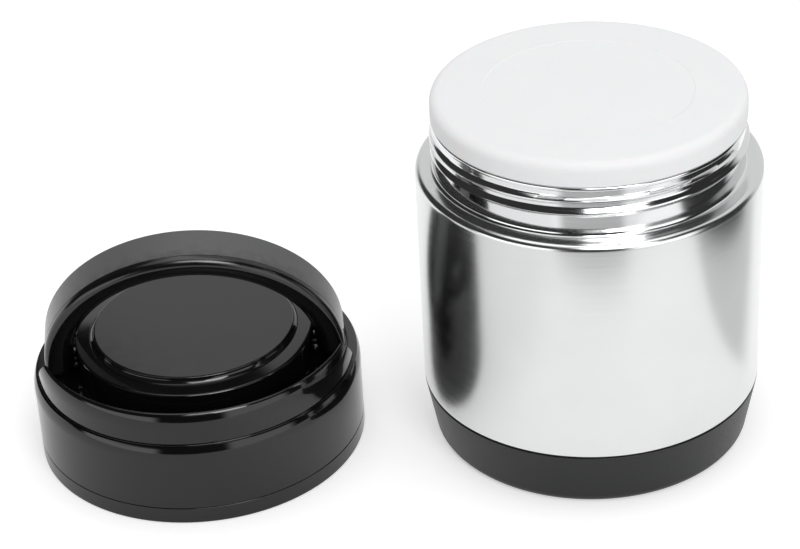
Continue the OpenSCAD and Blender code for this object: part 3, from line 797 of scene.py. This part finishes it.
def whole_handle():
    """Half a hoop and its two feet, standing up about the middle of the pins."""
    bm = bmesh.new()
    loop = [(handle_in, 0)] + front_edge + [(handle_out, 0)] + rear_edge + [(handle_in, 0)]
    bmesh.ops.spin(bm, geom=strip(bm, loop), cent=(0, 0, 0), axis=(0, -1, 0),
                   angle=math.pi, steps=128)
    for side in (1, -1):
        rear = strip(bm, [(handle_out, 0)] + rear_edge + [(handle_in, 0)], side)
        bmesh.ops.spin(bm, geom=rear, cent=(0, 0, 0), axis=(-1, 0, 0),
                       angle=math.pi / 2, steps=24)
        known = set(bm.verts)
        front = strip(bm, [(handle_in, 0)] + front_edge + [(handle_out, 0)], side)
        bmesh.ops.spin(bm, geom=front, cent=(0, 0, 0), axis=(1, 0, 0),
                       angle=math.pi / 2, steps=24)
        for vert in set(bm.verts) - known:
            far = math.hypot(vert.co.y, vert.co.z)
            if far > 1e-6:
                down = math.atan2(-vert.co.z, -vert.co.y)
                flat = foot_flat / math.cos(down - math.pi / 2 + stop_lean)
                sole = handle_back / max(math.sin(down), 0.1)
                keep = min(1, flat * MM / far, sole * MM / far)
                vert.co.y *= keep
                vert.co.z *= keep
    bmesh.ops.remove_doubles(bm, verts=bm.verts[:], dist=1e-6)
    bmesh.ops.holes_fill(bm, edges=bm.edges[:], sides=0)
    bmesh.ops.recalc_face_normals(bm, faces=bm.faces[:])
    return bm


def grip_room(gap):
    """The half ring with pointed ends that the grip fills, grown by a gap."""
    bm = bmesh.new()
    low, front, far = grip_in - gap, grip_front + gap, 60
    bmesh.ops.spin(bm, geom=strip(bm, [(low, -20), (far, -20), (far, front), (low, front),
                                       (low, -20)]),
                   cent=(0, 0, 0), axis=(0, -1, 0), angle=math.pi, steps=128)
    bmesh.ops.remove_doubles(bm, verts=bm.verts[:], dist=1e-6)
    bmesh.ops.holes_fill(bm, edges=bm.edges[:], sides=0)
    half_w = (handle_back + grip_front) / 2
    tip = Vector((0, handle_back - half_w, 1 - 2 * gap)) * MM
    for way in (1, -1):
        cut = bmesh.ops.bisect_plane(bm, geom=bm.verts[:] + bm.edges[:] + bm.faces[:],
                                     plane_co=tip, plane_no=(0, way * grip_point, half_w),
                                     clear_inner=True)
        edges = [e for e in cut["geom_cut"] if isinstance(e, bmesh.types.BMEdge)]
        bmesh.ops.holes_fill(bm, edges=edges, sides=0)
    bmesh.ops.recalc_face_normals(bm, faces=bm.faces[:])
    return bm


def on_pins(bm):
    """Leans a handle mesh forward and moves it onto the pins."""
    bmesh.ops.rotate(bm, verts=bm.verts[:], matrix=Matrix.Rotation(lean, 3, "X"))
    bmesh.ops.translate(bm, verts=bm.verts[:], vec=(0, 0, pivot_z * MM))
    on_lid(bm)


pin_room = cross_bar([(0, -bore_end), (pin_r + pin_run, -bore_end),
                      (pin_r + pin_run, -washer_seat), (washer_r, -washer_seat),
                      (washer_r, washer_seat), (pin_r + pin_run, washer_seat),
                      (pin_r + pin_run, bore_end), (0, bore_end)])
hoop = combine(whole_handle(), grip_room(grip_fit), "DIFFERENCE")
hoop = combine(hoop, pin_room, "DIFFERENCE")
on_pins(hoop)

# Glass-filled nylon from a polished mould: black with soft, broad highlights.
soft_gloss = moulded("polished_glass_filled_nylon", ("#09090a", "#141415"), (0.15, 0.21), 2.5, 0.0015,
                     IOR=1.53)
add_piece("handle_hoop", hoop, "handle", "handle_frame", [soft_gloss])

# Overmoulded elastomer with a fine pebbled texture of 0.45 mm: matt grey black,
# with a painted sheen that pales it towards the rear edge, where light grazes it from behind.
grip_rubber, tree, place = start_material("pebbled_thermoplastic_elastomer")
pebbles = add(tree, "TexVoronoi", {"Vector": place, "Scale": 1 / (0.45 * MM)},
              feature="SMOOTH_F1").outputs["Distance"]
cloud = add(tree, "TexNoise", {"Vector": place, "Scale": 1 / (9 * MM), "Detail": 3})
toward_front = (Matrix.Rotation(lid_turned, 3, "Z") @ Matrix.Rotation(lean, 3, "X")
                @ Vector((0, -1, 0)))
pins_depth = hinge_place.dot(toward_front)
depth = add(tree, "VectorMath", {0: place, 1: toward_front}, operation="DOT_PRODUCT")
# Painted sheen: the colour is paler towards the grip's rear edge and darker towards its front.
painted_rear_sheen = add(tree, "MapRange", {"Value": depth.outputs["Value"], "To Min": 1, "To Max": 0,
                               "From Min": pins_depth - handle_back * MM,
                               "From Max": pins_depth + grip_front * MM})
mottle_and_painted_sheen = add(tree, "Math", {0: cloud, 1: 0.4, 2: painted_rear_sheen}, operation="MULTIPLY_ADD")
shade = add(tree, "Math", {0: mottle_and_painted_sheen, 1: rubbed_edges(tree, place)}, use_clamp=True)
finish_surface(tree, ("#2a2a2b", "#555556"), shade, (0.5, 0.65), pebbles, 0.03, IOR=1.5,
               Sheen_Weight=1, Sheen_Roughness=0.3)
band = combine(whole_handle(), grip_room(-grip_fit), "INTERSECT")
on_pins(band)
add_piece("handle_band", band, "handle", "handle_grip", [grip_rubber])
